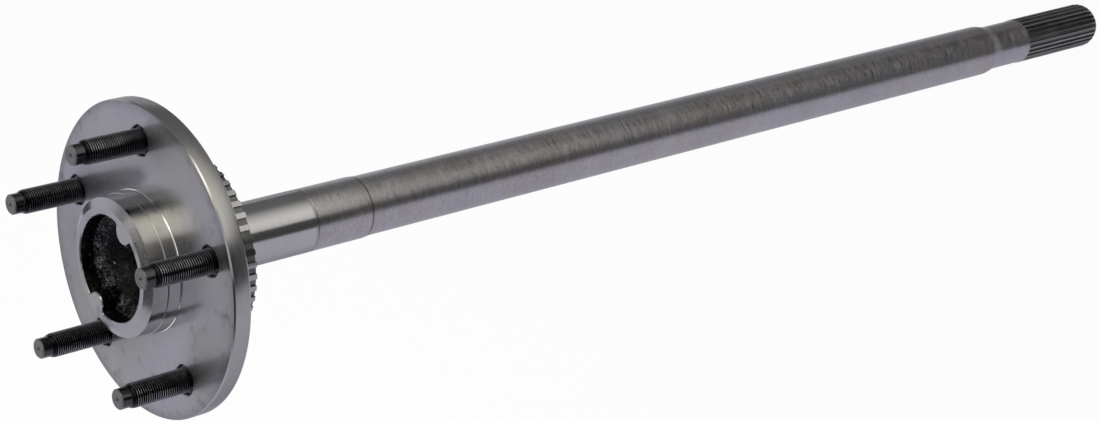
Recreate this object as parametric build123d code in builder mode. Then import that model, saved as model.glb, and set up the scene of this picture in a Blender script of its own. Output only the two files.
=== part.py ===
"""Flanged axle shaft with its pressed-in wheel studs and tone ring, in millimetres.

+Y runs along the shaft from the flange to the spline, +Z is up, and wheel stud 1 stands straight
above the axis. The origin is the centre of the bolt circle, on the face that the wheel bolts to.
"""

import os
from math import cos, pi, radians, sin, tan

from build123d import *

# Wheel flange
flange_dia = 164.0
flange_thickness = 9.8
flange_edge_chamfer = 0.7

# Pilot in front of the flange: a rotor step, then a smaller wheel step with a tapered lead-in
rotor_pilot_dia = 72.6
rotor_pilot_length = 6.9
pilot_foot_chamfer = 0.6
wheel_pilot_dia = 71.5
wheel_pilot_length = 8.9
pilot_step_length = 0.5
pilot_face_dia = 62.4
lead_in_length = 2.7

# Forged pocket in the end of the pilot, with two ribs opposite each other
pocket_mouth_dia = 55.0
pocket_land_length = 8.0
pocket_land_draft = 4.0
pocket_depth = 20.5
pocket_floor_dia = 24.0
pocket_floor_chamfer = 2.5
pocket_edge_chamfer = 0.6
rib_width = 11.4
rib_gap = 40.6
rib_angle = 30.0

# Wheel studs
stud_count = 5
bolt_circle = 127.0
stud_thread_dia = 12.7
stud_reach = 38.4
stud_tip_dia = 10.6
stud_tip_length = 5.5
stud_lead_length = 2.5
stud_shank_dia = 15.9
stud_shank_sink = 1.8
stud_head_dia = 21.6
stud_head_thickness = 4.8
stud_hole_chamfer = 0.5

# Hub boss behind the flange, which carries the tone ring
boss_root_chamfer = 2.5
boss_head_room = 0.8
boss_shoulder_dia = 88.0
boss_shoulder_length = 12.2
boss_overhang = 1.0
boss_end_chamfer = 0.8

# Tone ring
ring_bore_dia = 78.0
ring_tip_dia = 97.8
ring_width = 14.0
ring_tooth_count = 48
ring_tooth_height = 1.1
ring_slot_width = 3.6
ring_slot_angle = 4.5

# Shaft, section by section from the boss to the splined end
journal_fillet = 8.0
journal_dia = 34.0
journal_length = 59.0
relief_length = 1.6
relief_depth = 0.45
seat_dia = 33.8
seat_length = 34.4
seat_step_length = 4.0
body_dia = 32.7
body_length = 519.0
taper_length = 13.0
neck_dia = 28.8
neck_length = 24.7
spline_lead_length = 4.0
spline_length = 78.0
end_chamfer_length = 5.4
end_chamfer_depth = 2.6
centre_hole_dia = 3.2
centre_sink_dia = 7.0
centre_sink_angle = 60.0
centre_hole_depth = 8.0

# Spline teeth, as a diametral pitch in teeth for each inch of pitch circle
spline_teeth = 27
spline_pitch = 24.0
spline_pressure_angle = 30.0
spline_root_clearance = 0.35
inch = 25.4

# Share of its radius that each handle of a Bezier quarter circle takes
round_handle = 0.5523

# Places and sizes that follow
pilot_length = rotor_pilot_length + wheel_pilot_length + lead_in_length
bolt_circle_r = bolt_circle / 2
boss_root_r = bolt_circle_r - stud_head_dia / 2 - boss_head_room - boss_root_chamfer
ring_start = flange_thickness + boss_shoulder_length
boss_end = ring_start + ring_width + boss_overhang
journal_end = boss_end + journal_length
seat_start = journal_end + relief_length
seat_end = seat_start + seat_length
body_start = seat_end + seat_step_length
body_end = body_start + body_length
neck_start = body_end + taper_length
neck_end = neck_start + neck_length
spline_start = neck_end + spline_lead_length
shaft_end = spline_start + spline_length
spline_major_dia = inch * (spline_teeth + 1) / spline_pitch
spline_root_dia = inch * (spline_teeth - 1 - spline_root_clearance) / spline_pitch


def across(y):
    """Plane square to the shaft at y, from which extrusions run towards the spline."""
    return Plane(origin=(0, y, 0), x_dir=(1, 0, 0), z_dir=(0, 1, 0))


def turned_edge(piece, y, radius):
    """Full circular edge of a turned piece, by its place along the shaft and its radius."""
    circles = piece.edges().filter_by(GeomType.CIRCLE)
    return circles.filter_by(lambda e: abs(e.arc_center.Y - y) < 0.01 and abs(e.radius - radius) < 0.01)


def finish(piece, label):
    """Name a finished piece and write it to its own file."""
    piece.part.label = label
    export_step(piece.part, f"parts/{label}.step")


def build_pocket():
    """The forged pocket as a cutter: a drafted land and a cone to the floor, less the two ribs."""
    front = -pilot_length
    edge_end = front + pocket_edge_chamfer
    land_end = front + pocket_land_length
    floor = front + pocket_depth
    mouth_r = pocket_mouth_dia / 2
    land_r = mouth_r - pocket_land_length * tan(radians(pocket_land_draft))
    rib_middle = (rib_gap + rib_width + mouth_r) / 2
    with BuildPart() as pocket:
        with BuildSketch(Plane.XY):
            with BuildLine():
                Polyline(
                    (0, front),
                    (mouth_r + pocket_edge_chamfer, front),
                    (mouth_r, edge_end),
                    (land_r, land_end),
                    (pocket_floor_dia / 2, floor),
                    (0, floor),
                    close=True,
                )
            make_face()
        revolve(axis=Axis.Y)
        chamfer(turned_edge(pocket, floor, pocket_floor_dia / 2), pocket_floor_chamfer)
        with BuildSketch(across(front)):
            with PolarLocations(rib_middle, 2, start_angle=rib_angle - 90):
                SlotCenterToCenter(mouth_r, rib_width - 2 * pocket_edge_chamfer)
        extrude(amount=pocket_edge_chamfer, taper=-45, mode=Mode.SUBTRACT)
        with BuildSketch(across(edge_end)):
            with PolarLocations(rib_middle, 2, start_angle=rib_angle - 90):
                SlotCenterToCenter(mouth_r, rib_width)
        extrude(amount=pocket_depth - pocket_edge_chamfer, mode=Mode.SUBTRACT)
    return pocket.part


def spline_space():
    """Outline of one space between spline teeth, opening outwards along the sketch's x axis."""
    pitch_r = inch * spline_teeth / spline_pitch / 2
    half_space = pi * pitch_r / spline_teeth / 2
    flank = tan(radians(spline_pressure_angle + 90 / spline_teeth))
    inner_r = spline_root_dia / 2
    outer_r = spline_major_dia / 2 + (spline_major_dia - spline_root_dia) / 2
    inner_half = half_space - (pitch_r - inner_r) * flank
    outer_half = half_space + (outer_r - pitch_r) * flank
    return [(inner_r, -inner_half), (outer_r, -outer_half), (outer_r, outer_half), (inner_r, inner_half)]


def build_axle_shaft():
    """The forging: pilot, flange, hub boss and shaft turned as one, then the pocket, holes and spline."""
    pocket = build_pocket()
    rotor_r = rotor_pilot_dia / 2
    wheel_r = wheel_pilot_dia / 2
    seat_r = ring_bore_dia / 2
    journal_r = journal_dia / 2
    major_r = spline_major_dia / 2
    hole_r = stud_shank_dia / 2
    handle = round_handle * journal_fillet
    with BuildPart() as shaft:
        with BuildSketch(Plane.XY):
            with BuildLine():
                Polyline(
                    (0, -pilot_length),
                    (pilot_face_dia / 2, -pilot_length),
                    (wheel_r, -pilot_length + lead_in_length),
                    (wheel_r, -rotor_pilot_length - pilot_step_length),
                    (rotor_r, -rotor_pilot_length),
                    (rotor_r, 0),
                    (flange_dia / 2, 0),
                    (flange_dia / 2, flange_thickness),
                    (boss_root_r, flange_thickness),
                    (boss_shoulder_dia / 2, ring_start),
                    (seat_r, ring_start),
                    (seat_r, boss_end),
                    (journal_r + journal_fillet, boss_end),
                )
                Bezier(
                    (journal_r + journal_fillet, boss_end),
                    (journal_r + journal_fillet - handle, boss_end),
                    (journal_r, boss_end + journal_fillet - handle),
                    (journal_r, boss_end + journal_fillet),
                )
                Polyline(
                    (journal_r, boss_end + journal_fillet),
                    (journal_r, journal_end),
                    (seat_dia / 2 - relief_depth, journal_end),
                    (seat_dia / 2 - relief_depth, seat_start),
                    (seat_dia / 2, seat_start),
                    (seat_dia / 2, seat_end),
                    (body_dia / 2, body_start),
                    (body_dia / 2, body_end),
                )
                Spline(
                    (body_dia / 2, body_end),
                    (neck_dia / 2, neck_start),
                    tangents=((0, 1), (0, 1)),
                )
                Polyline(
                    (neck_dia / 2, neck_start),
                    (neck_dia / 2, neck_end),
                    (major_r, spline_start),
                    (major_r, shaft_end - end_chamfer_length),
                    (major_r - end_chamfer_depth, shaft_end),
                    (0, shaft_end),
                    (0, -pilot_length),
                )
            make_face()
        revolve(axis=Axis.Y)
        chamfer(turned_edge(shaft, 0, rotor_r), pilot_foot_chamfer)
        chamfer(turned_edge(shaft, flange_thickness, boss_root_r), boss_root_chamfer)
        chamfer(turned_edge(shaft, boss_end, seat_r), boss_end_chamfer)
        chamfer(turned_edge(shaft, 0, flange_dia / 2), flange_edge_chamfer)
        chamfer(turned_edge(shaft, flange_thickness, flange_dia / 2), flange_edge_chamfer)

        add(pocket, mode=Mode.SUBTRACT)
        with Locations(across(flange_thickness / 2)):
            with PolarLocations(bolt_circle_r, stud_count, start_angle=-90):
                Hole(hole_r, depth=flange_thickness)
        chamfer(turned_edge(shaft, 0, hole_r), stud_hole_chamfer)

        with BuildSketch(across(spline_start)):
            with PolarLocations(0, spline_teeth):
                Polygon(*spline_space(), align=None)
        extrude(amount=spline_length, mode=Mode.SUBTRACT)
        with Locations(across(shaft_end)):
            CounterSinkHole(centre_hole_dia / 2, centre_sink_dia / 2, centre_hole_depth, centre_sink_angle)
    finish(shaft, "axle_shaft")


def build_tone_ring():
    """The toothed ring, pressed onto the boss up to its shoulder."""
    tip_r = ring_tip_dia / 2
    with BuildPart() as ring:
        with BuildSketch(across(ring_start)):
            Circle(tip_r)
            Circle(ring_bore_dia / 2, mode=Mode.SUBTRACT)
            with PolarLocations(tip_r, ring_tooth_count, start_angle=ring_slot_angle):
                Rectangle(2 * ring_tooth_height, ring_slot_width, mode=Mode.SUBTRACT)
        extrude(amount=ring_width)
    finish(ring, "tone_ring")


def build_wheel_stud(number):
    """One stud: dog point, thread, shank pressed into the flange a little below its face, and head."""
    turn = 2 * pi * (number - 1) / stud_count
    x = bolt_circle_r * sin(turn)
    z = bolt_circle_r * cos(turn)
    tip_r = stud_tip_dia / 2
    thread_r = stud_thread_dia / 2
    shank_r = stud_shank_dia / 2
    head_r = stud_head_dia / 2
    head_end = flange_thickness + stud_head_thickness
    with BuildPart() as stud:
        with BuildSketch(Plane(origin=(x, 0, z), x_dir=(1, 0, 0), z_dir=(0, 0, 1))):
            with BuildLine():
                Polyline(
                    (0, -stud_reach),
                    (tip_r, -stud_reach),
                    (tip_r, -stud_reach + stud_tip_length),
                    (thread_r, -stud_reach + stud_tip_length + stud_lead_length),
                    (thread_r, stud_shank_sink),
                    (shank_r, stud_shank_sink),
                    (shank_r, flange_thickness),
                    (head_r, flange_thickness),
                    (head_r, head_end),
                    (0, head_end),
                    close=True,
                )
            make_face()
        revolve(axis=Axis((x, 0, z), (0, 1, 0)))
    finish(stud, f"wheel_stud_{number}")


os.makedirs("parts", exist_ok=True)
build_axle_shaft()
build_tone_ring()
for stud_number in range(1, stud_count + 1):
    build_wheel_stud(stud_number)
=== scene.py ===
"""Dresses a flanged axle shaft in turned steel, with its forged pocket, studs and toothed ring.

The shaft lies along +Y from the flange face at y = 0 to the splined end, and stud 1 is at the top.
Settings are written in millimetres, and everything is kept in metres in the solids' frame.
"""

from functools import cached_property
from math import atan2, cos, hypot, pi, radians, sin, tan

import bmesh
import bpy
from mathutils import Matrix, Vector, noise


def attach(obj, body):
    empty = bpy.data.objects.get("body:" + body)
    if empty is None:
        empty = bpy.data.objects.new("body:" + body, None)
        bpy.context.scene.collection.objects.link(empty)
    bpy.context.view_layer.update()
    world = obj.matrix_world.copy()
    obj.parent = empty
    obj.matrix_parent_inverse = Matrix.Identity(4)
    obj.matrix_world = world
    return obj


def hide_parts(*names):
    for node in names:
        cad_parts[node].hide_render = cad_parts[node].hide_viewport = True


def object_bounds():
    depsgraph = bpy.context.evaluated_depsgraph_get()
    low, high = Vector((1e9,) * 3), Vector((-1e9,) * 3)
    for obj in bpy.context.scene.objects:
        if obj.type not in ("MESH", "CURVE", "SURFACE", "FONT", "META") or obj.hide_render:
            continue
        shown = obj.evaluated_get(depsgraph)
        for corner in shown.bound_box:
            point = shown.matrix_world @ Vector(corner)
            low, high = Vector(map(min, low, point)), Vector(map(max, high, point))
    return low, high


bl_info = {
    "name": "Flanged Axle Shaft",
    "version": (1, 0, 0),
    "blender": (4, 5, 0),
    "location": "View3D > Sidebar > Axle",
    "description": "Builds the surfaces, finishes and studio of a flanged axle shaft",
    "category": "Object",
}

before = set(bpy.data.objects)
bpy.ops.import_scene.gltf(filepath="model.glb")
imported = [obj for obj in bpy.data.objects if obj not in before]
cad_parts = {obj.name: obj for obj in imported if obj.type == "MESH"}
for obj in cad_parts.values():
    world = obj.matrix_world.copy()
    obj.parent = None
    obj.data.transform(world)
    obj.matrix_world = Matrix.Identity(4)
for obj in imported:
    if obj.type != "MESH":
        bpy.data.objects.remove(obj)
cad_low, cad_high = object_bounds()
SHAFT = "axle_shaft"
RING = "tone_ring"
STUDS = [f"wheel_stud_{number}" for number in range(1, 6)]
AXIS = Vector((0.0, 1.0, 0.0))
MM = 0.001

# How fine the meshes are
SEGMENTS = 432
HOLE_SEGMENTS = 72
POCKET_STEPS = 34
FLOOR_STEPS = 12
FILLET_STEPS = 12
TAPER_STEPS = 12
END_STEPS = 8
THREAD_STEPS = 40

# Distances for welding points, for keeping loops of a flat face apart, and for lying in a plane
WELD = 0.5e-6
HAIR = 1e-7
TOUCH = 1e-6

# Small forms that are not settings
SHARP_ANGLE = radians(24.0)
KEPT_CORNER = radians(160.0)  # flatter corners aren't broken
PILOT_STEP = 0.5 * MM
PILOT_FOOT = 0.3 * MM
BOSS_ROOT = ((0.0, 51.9), (0.35, 50.4), (1.2, 49.3), (2.6, 48.4))  # depth and radius in mm
BOSS_CHAMFER = 0.8 * MM
POCKET_DRAFT = radians(4.0)
POCKET_FILLET = 2.6 * MM
POCKET_REACH = 28.6 * MM  # everything nearer to the axis is in the pocket
SCALE_GRAIN = 330.0  # bumps in a metre
TOOTH_SLOPE = 30.0  # pressure angle in degrees
CENTRE_DEPTH = 8.0 * MM
CENTRE_POINT = 8.4 * MM
END_EDGE = 0.2 * MM
STUD_SHOULDER = 0.4 * MM
SERRATION_DEPTH = 0.25 * MM
HEAD_INNER = 4.0 * MM

# Places of the finishes in the forging's list
FACE, PILOT, GROUND, BAR, SCALE, SPLINE, RIM = range(7)

WHITE = (1.0, 1.0, 1.0)
CARD_WHITE = (1.0, 0.99, 0.98)


def mm(label, text, millimetres):
    """A length, given in millimetres and kept in metres."""
    return bpy.props.FloatProperty(
        name=label, description=text, default=millimetres * MM, min=0.0, precision=5, unit="LENGTH"
    )


def angle_prop(label, text, degrees):
    """An angle, given in degrees and kept in radians."""
    return bpy.props.FloatProperty(
        name=label, description=text, default=radians(degrees), subtype="ANGLE"
    )


def count_prop(label, text, value, low, high):
    """A whole number."""
    return bpy.props.IntProperty(name=label, description=text, default=value, min=low, max=high)


def level_prop(label, text, value):
    """A number without a unit."""
    return bpy.props.FloatProperty(name=label, description=text, default=value, min=0.0)


def place_prop(label, text, value):
    """A place in the frame."""
    return bpy.props.FloatVectorProperty(
        name=label, description=text, default=value, size=3, subtype="TRANSLATION", unit="LENGTH"
    )


def rgb(label, text, value):
    """A linear colour."""
    return bpy.props.FloatVectorProperty(
        name=label, description=text, default=value, min=0.0, max=1.0, size=3, subtype="COLOR"
    )


def group_prop(label, kind):
    """A group of settings."""
    return bpy.props.PointerProperty(type=kind, name=label, description=kind.__doc__)


class AxleFlangeSizes(bpy.types.PropertyGroup):
    """Sizes of the flange and pilot"""

    radius: mm("Flange radius", "Outer radius of the wheel flange", cad_high.x / MM)
    thickness: mm("Flange thickness", "Thickness of the wheel flange", 9.8)
    rim_chamfer: mm("Rim chamfer", "Chamfer on both edges of the rim", 0.7)
    rotor_pilot_radius: mm("Rotor pilot radius", "Radius of the pilot's rear step", 36.3)
    rotor_pilot_length: mm("Rotor pilot length", "Length of the pilot's rear step", 6.9)
    wheel_pilot_radius: mm("Wheel pilot radius", "Radius of the pilot's front step", 35.75)
    pilot_length: mm(
        "Pilot length", "From the flange face to the pilot's end", -cad_low.y / MM - 19.9
    )
    lead_in: mm("Lead-in", "Length of the taper at the pilot's end", 2.7)
    pilot_face_radius: mm("Pilot face radius", "Outer radius of the pilot's flat end", 31.2)
    edge_break: mm("Edge break", "Size of the small chamfer on turned corners", 0.18)
    hole_circle: mm("Bolt circle radius", "Radius of the circle of the stud holes", 63.5)
    hole_radius: mm("Stud hole radius", "Radius of the stud holes", 7.95)
    hole_chamfer: mm("Stud hole chamfer", "Chamfer at the front of the stud holes", 0.5)


class AxlePocketSizes(bpy.types.PropertyGroup):
    """Sizes of the forged pocket in the pilot"""

    mouth_radius: mm("Mouth radius", "Radius of the pocket's mouth", 27.5)
    mouth_chamfer: mm("Mouth chamfer", "Machined edge round the mouth", 0.6)
    land: mm("Land", "Depth of the nearly straight wall behind the mouth", 8.0)
    depth: mm("Depth", "From the pilot's end to the pocket's floor", 20.5)
    floor_radius: mm("Floor radius", "Radius of the pocket's floor", 12.0)
    rib_half_width: mm(
        "Rib half width", "Half the width of each rib, and the radius of its nose", 5.7
    )
    rib_nose: mm("Rib nose", "From the axis to the nose of each rib", 20.3)
    rib_blend: mm("Rib blend", "Size of the blend between a rib and the wall", 2.4)
    rib_angle: angle_prop("Rib angle", "Turn of the ribs from stud 1 towards +X", 30.0)
    scale_height: mm("Scale height", "Height of the bumps that forging left", 0.32)


class AxleBarSizes(bpy.types.PropertyGroup):
    """Sections of the shaft behind the flange, by their ends along it and their radii"""

    boss_shoulder: mm("Boss shoulder", "Radius of the boss before the toothed ring", 44.0)
    ring_seat: mm("Ring seat", "Radius of the boss under the toothed ring", 39.0)
    ring_front: mm("Ring front", "Where the toothed ring starts", 22.0)
    boss_end: mm("Boss end", "Where the boss ends", 37.0)
    journal_radius: mm("Journal radius", "Radius of the ground journal", 17.0)
    journal_end: mm("Journal end", "Where the ground journal ends", 96.0)
    journal_fillet: mm("Journal fillet", "Radius between the journal and the boss", 8.0)
    groove_width: mm("Groove width", "Width of the relief groove", 1.6)
    groove_radius: mm("Groove radius", "Radius at the bottom of the relief groove", 16.45)
    seat_radius: mm("Seat radius", "Radius of the retainer seat", 16.9)
    seat_end: mm("Seat end", "Where the retainer seat ends", 132.0)
    body_radius: mm("Body radius", "Radius of the long turned bar", 16.35)
    body_start: mm("Body start", "Where the long bar starts", 136.0)
    body_end: mm("Body end", "Where the long bar ends", 655.0)
    neck_radius: mm("Neck radius", "Radius of the neck before the spline", 14.4)
    neck_start: mm("Neck start", "Where the neck starts", 668.0)
    neck_end: mm("Neck end", "Where the neck ends", 692.7)


class AxleSplineSizes(bpy.types.PropertyGroup):
    """Sizes of the splined end"""

    teeth: count_prop("Teeth", "Number of spline teeth", 27, 9, 54)
    tip_radius: mm("Tip radius", "Radius over the teeth", 14.817)
    root_radius: mm("Root radius", "Radius at the bottom of the spaces", 13.573)
    start: mm("Start", "Where the teeth start", 696.7)
    run_out: mm("Run-out", "Length over which the cutter left the bar", 1.4)
    end: mm("End", "Where the shaft ends", cad_high.y / MM)
    end_length: mm("End rounding length", "Length of the rounding at the end", 5.4)
    end_depth: mm("End rounding depth", "Depth of the rounding at the end", 2.6)
    centre_radius: mm("Centre radius", "Mouth radius of the centre hole", 3.5)
    centre_drill: mm("Centre drill", "Radius of the centre hole's drilled part", 1.6)


class AxleRingSizes(bpy.types.PropertyGroup):
    """Sizes of the toothed ring behind the flange"""

    teeth: count_prop("Teeth", "Number of ring teeth", 48, 12, 96)
    tip_radius: mm("Tip radius", "Radius over the ring's teeth", 48.9)
    tooth_height: mm("Tooth height", "Depth of the spaces", 1.1)
    space_width: mm("Space width", "Width of the spaces", 3.6)
    space_angle: angle_prop("Space angle", "Turn of the first space from stud 1", 4.5)
    width: mm("Width", "Width of the ring", 14.0)
    edge_break: mm("Edge break", "Rounding of the teeth's edges", 0.2)


class AxleStudSizes(bpy.types.PropertyGroup):
    """Sizes of the wheel studs"""

    reach: mm("Reach", "From the flange face to the stud's tip", 38.4)
    tip_radius: mm("Tip radius", "Radius of the plain tip", 5.3)
    tip_length: mm("Tip length", "Length of the plain tip", 5.5)
    tip_chamfer: mm("Tip chamfer", "Chamfer round the end face", 0.6)
    mark_radius: mm("Mark radius", "Radius of the centre mark", 1.3)
    lead_length: mm("Lead length", "Length over which the thread rises from the tip", 2.5)
    thread_radius: mm("Thread radius", "Outer radius of the thread", 6.35)
    thread_pitch: mm("Thread pitch", "Advance of the thread in one turn", 1.27)
    thread_depth: mm("Thread depth", "Depth of the thread", 0.74)
    shank_radius: mm("Shank radius", "Radius of the serrated shank", 7.95)
    shank_sink: mm("Shank sink", "Depth in the hole at which the shank starts", 1.8)
    serrations: count_prop("Serrations", "Serrations round the shank", 48, 8, 96)
    head_radius: mm("Head radius", "Radius of the head behind the flange", 10.8)
    head_thickness: mm("Head thickness", "Thickness of the head", 4.8)


class AxleFinishes(bpy.types.PropertyGroup):
    """Colours of the finishes"""

    face: rgb("Flange face", "Faced steel of the flange", (0.341, 0.335, 0.366))
    face_oily: rgb("Oily film", "Flange face under a film of oil", (0.336, 0.333, 0.313))
    pilot: rgb("Pilot", "Finely turned steel of the pilot", (0.78, 0.772, 0.767))
    rim: rgb("Rim", "Turned steel of the rim and boss", (0.297, 0.294, 0.302))
    journal: rgb("Journal", "Ground steel of the journal", (0.335, 0.331, 0.345))
    bar: rgb("Turned bar", "Coarsely turned bar", (0.334, 0.326, 0.362))
    bar_brown: rgb("Bar traces", "Brown traces on the turned bar", (0.32, 0.29, 0.262))
    spline: rgb("Spline", "Rolled spline teeth", (0.28, 0.275, 0.28))
    ring_land: rgb("Ring land", "Bright tops of the ring's teeth", (0.28, 0.28, 0.295))
    ring_space: rgb("Ring space", "Dull spaces and sides of the teeth", (0.15, 0.15, 0.157))
    scale: rgb("Forge scale", "Black scale in the pocket", (0.012, 0.0125, 0.0135))
    # Pale colour of thin scale, shown only in the pocket's painted lit band.
    scale_lit_band: rgb("Worn scale", "Where the scale is thin", (0.27, 0.28, 0.3))
    stud: rgb("Stud", "Black finish of the studs", (0.044, 0.047, 0.053))
    stud_crest: rgb("Thread crest", "Worn crests of the thread", (0.34, 0.353, 0.383))
    stud_tip: rgb("Stud tip", "Paler end faces of the studs", (0.11, 0.111, 0.116))
    edge_tint: rgb("Steel edge tint", "Steel seen at a flat angle", (0.5, 0.5, 0.52))
    bar_edge_tint: rgb(
        "Bar edge tint", "Turned bar and flange face seen at a flat angle", (0.8, 0.8, 0.82)
    )


class AxleStudio(bpy.types.PropertyGroup):
    """Floor, lights and camera"""

    floor_drop: mm("Floor drop", "From the shaft's axis down to the floor", 360.0)
    floor_colour: rgb("Floor colour", "Pale floor", (0.925, 0.912, 0.99))
    canopy_reach: mm("Canopy reach", "From the axis across to the canopy's low edge", 1300.0)
    canopy_low: mm("Canopy low edge", "Height of the canopy's low edge", 545.0)
    canopy_high: mm("Canopy high edge", "Height of the canopy's high edge", 1380.0)
    key_colour: rgb("Key colour", "Colour of the soft canopy", (1.0, 0.985, 0.94))
    key_warm: rgb("Warm key colour", "Canopy beside the flange", (1.0, 0.98, 0.82))
    key_strength: level_prop("Key strength", "Brightness of the canopy at its brightest", 1.72)
    front_place: place_prop("Front light", "Middle of the small warm light", (0.34, -1.1, 1.24))
    front_width: mm("Front light width", "Width of the small warm light", 750.0)
    front_colour: rgb("Front colour", "Colour of the small warm light", (1.0, 0.95, 0.82))
    front_strength: level_prop("Front strength", "Brightness of the small warm light", 4.0)
    camera_location: place_prop(
        "Camera location", "Where the camera stands", (0.941573, -0.58632, 0.445376)
    )
    camera_rotation: bpy.props.FloatVectorProperty(
        name="Camera rotation", description="How the camera is turned", size=3, subtype="EULER",
        default=(radians(69.43427), radians(-2.45835), radians(48.48663)),
    )
    camera_lens: level_prop("Camera lens", "Focal length in millimetres on a 36 mm sensor", 77.231)


# Meshes


def placed(bm, name, finishes):
    """Makes a bmesh an object of the scene, with its finishes."""
    mesh = bpy.data.meshes.new(name)
    bm.to_mesh(mesh)
    bm.free()
    for finish in finishes:
        mesh.materials.append(finish)
    piece = bpy.data.objects.new(name, mesh)
    bpy.context.scene.collection.objects.link(piece)
    return piece


def as_object(bm, name, finishes, stands_for):
    """Closes a bmesh into an object that rides with the part in place of its solid."""
    bmesh.ops.remove_doubles(bm, verts=bm.verts, dist=WELD)
    bmesh.ops.recalc_face_normals(bm, faces=bm.faces)
    for face in bm.faces:
        face.smooth = True
    piece = placed(bm, name, finishes)
    piece.data.set_sharp_from_angle(angle=SHARP_ANGLE)
    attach(piece, "root")
    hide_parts(stands_for)
    return piece


def eased(profile, size):
    """The same profile of (y, radius) points, its sharp corners broken by small chamfers."""
    points = [Vector(point) for point in profile]
    result = [points[0]]
    for before, corner, after in zip(points, points[1:], points[2:]):
        back = before - corner
        ahead = after - corner
        if back.angle(ahead) > KEPT_CORNER:
            result.append(corner)
        else:
            room = min(size, 0.4 * back.length, 0.4 * ahead.length)
            result += [corner + back.normalized() * room, corner + ahead.normalized() * room]
    return result + [points[-1]]


def circle_at(bm, centre, radius, segments):
    """Circle across the shaft, as a loop of edges."""
    upright = Matrix.Translation(centre) @ Matrix.Rotation(radians(90.0), 4, "X")
    circle = bmesh.ops.create_circle(bm, segments=segments, radius=radius, matrix=upright)
    return list({edge for vert in circle["verts"] for edge in vert.link_edges})


def extruded(bm, loop):
    """Extrudes a closed loop where it stands, and returns its new points and its new loop."""
    made = bmesh.ops.extrude_edge_only(bm, edges=loop)["geom"]
    verts = [item for item in made if isinstance(item, bmesh.types.BMVert)]
    edges = [item for item in made if isinstance(item, bmesh.types.BMEdge) and item.is_boundary]
    return verts, edges


def drawn_on(bm, loop, y, radius):
    """Draws a loop to a new place along the shaft, and returns the new loop.

    The radius is a number, or a function of the angle round the shaft.
    """
    verts, edges = extruded(bm, loop)
    for vert in verts:
        angle = atan2(vert.co.x, vert.co.z)
        reach = radius(angle) if callable(radius) else radius
        vert.co = (reach * sin(angle), y, reach * cos(angle))
    return edges


def drawn_along(bm, loop, profile):
    """Draws a loop along a profile of (y, radius) points, and returns the last loop."""
    for y, radius in profile:
        loop = drawn_on(bm, loop, y, radius)
    return loop


def lathe(bm, profile):
    """Draws a circle along a profile of (y, radius) points, and returns its two end loops."""
    (start, radius), *rest = profile
    first = circle_at(bm, (0.0, start, 0.0), radius, SEGMENTS)
    return first, drawn_along(bm, first, rest)


def closed_at(bm, loop, y):
    """Draws a loop together to a point on the axis."""
    bmesh.ops.pointmerge(bm, verts=extruded(bm, loop)[0], merge_co=(0.0, y, 0.0))


def flat_between(bm, loops, normal):
    """Fills a flat face that has holes."""
    edges = sum(loops, [])
    bmesh.ops.triangle_fill(bm, use_beauty=True, use_dissolve=False, edges=edges, normal=normal)


def stud_place(number, sizes):
    """Where a stud's axis meets the flange face: stud 1 at the top, the rest towards +X."""
    turn = 2.0 * pi * (number - 1) / len(STUDS)
    return Vector((sizes.hole_circle * sin(turn), 0.0, sizes.hole_circle * cos(turn)))


def stud_hole(bm, centre, sizes):
    """Chamfered hole through the flange, and its loops on the front and back faces."""
    front_loop = circle_at(bm, centre, sizes.hole_radius + sizes.hole_chamfer, HOLE_SEGMENTS)
    loop = front_loop
    for y in (sizes.hole_chamfer, sizes.thickness):
        verts, loop = extruded(bm, loop)
        for vert in verts:
            out = Vector((vert.co.x - centre.x, 0.0, vert.co.z - centre.z)).normalized()
            vert.co = centre + out * sizes.hole_radius + AXIS * y
    return front_loop, loop


def pocket_outline(angle, wall, sizes):
    """Radius of the pocket's wall in one direction: a round wall blended into two ribs."""
    off = (angle - sizes.rib_angle + pi / 2.0) % pi - pi / 2.0
    nose = sizes.rib_nose + sizes.rib_half_width
    blend = sizes.rib_blend

    def outside(radius):
        past_wall = radius - wall
        in_rib = sizes.rib_half_width - hypot(min(radius * cos(off) - nose, 0.0), radius * sin(off))
        mixed = max(blend - abs(past_wall - in_rib), 0.0) / blend
        return max(past_wall, in_rib) + mixed * mixed * blend / 4.0

    low = 0.0
    high = wall
    for _ in range(22):
        middle = (low + high) / 2.0
        if outside(middle) > 0.0:
            high = middle
        else:
            low = middle
    return low


def roughened(verts, height):
    """Moves points along their normals by a fixed pattern of hollows and bumps."""
    for vert in verts:
        lift = noise.fractal(vert.co * SCALE_GRAIN, 0.9, 2.1, 4, noise_basis="PERLIN_ORIGINAL")
        vert.co += vert.normal * height * lift


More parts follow.
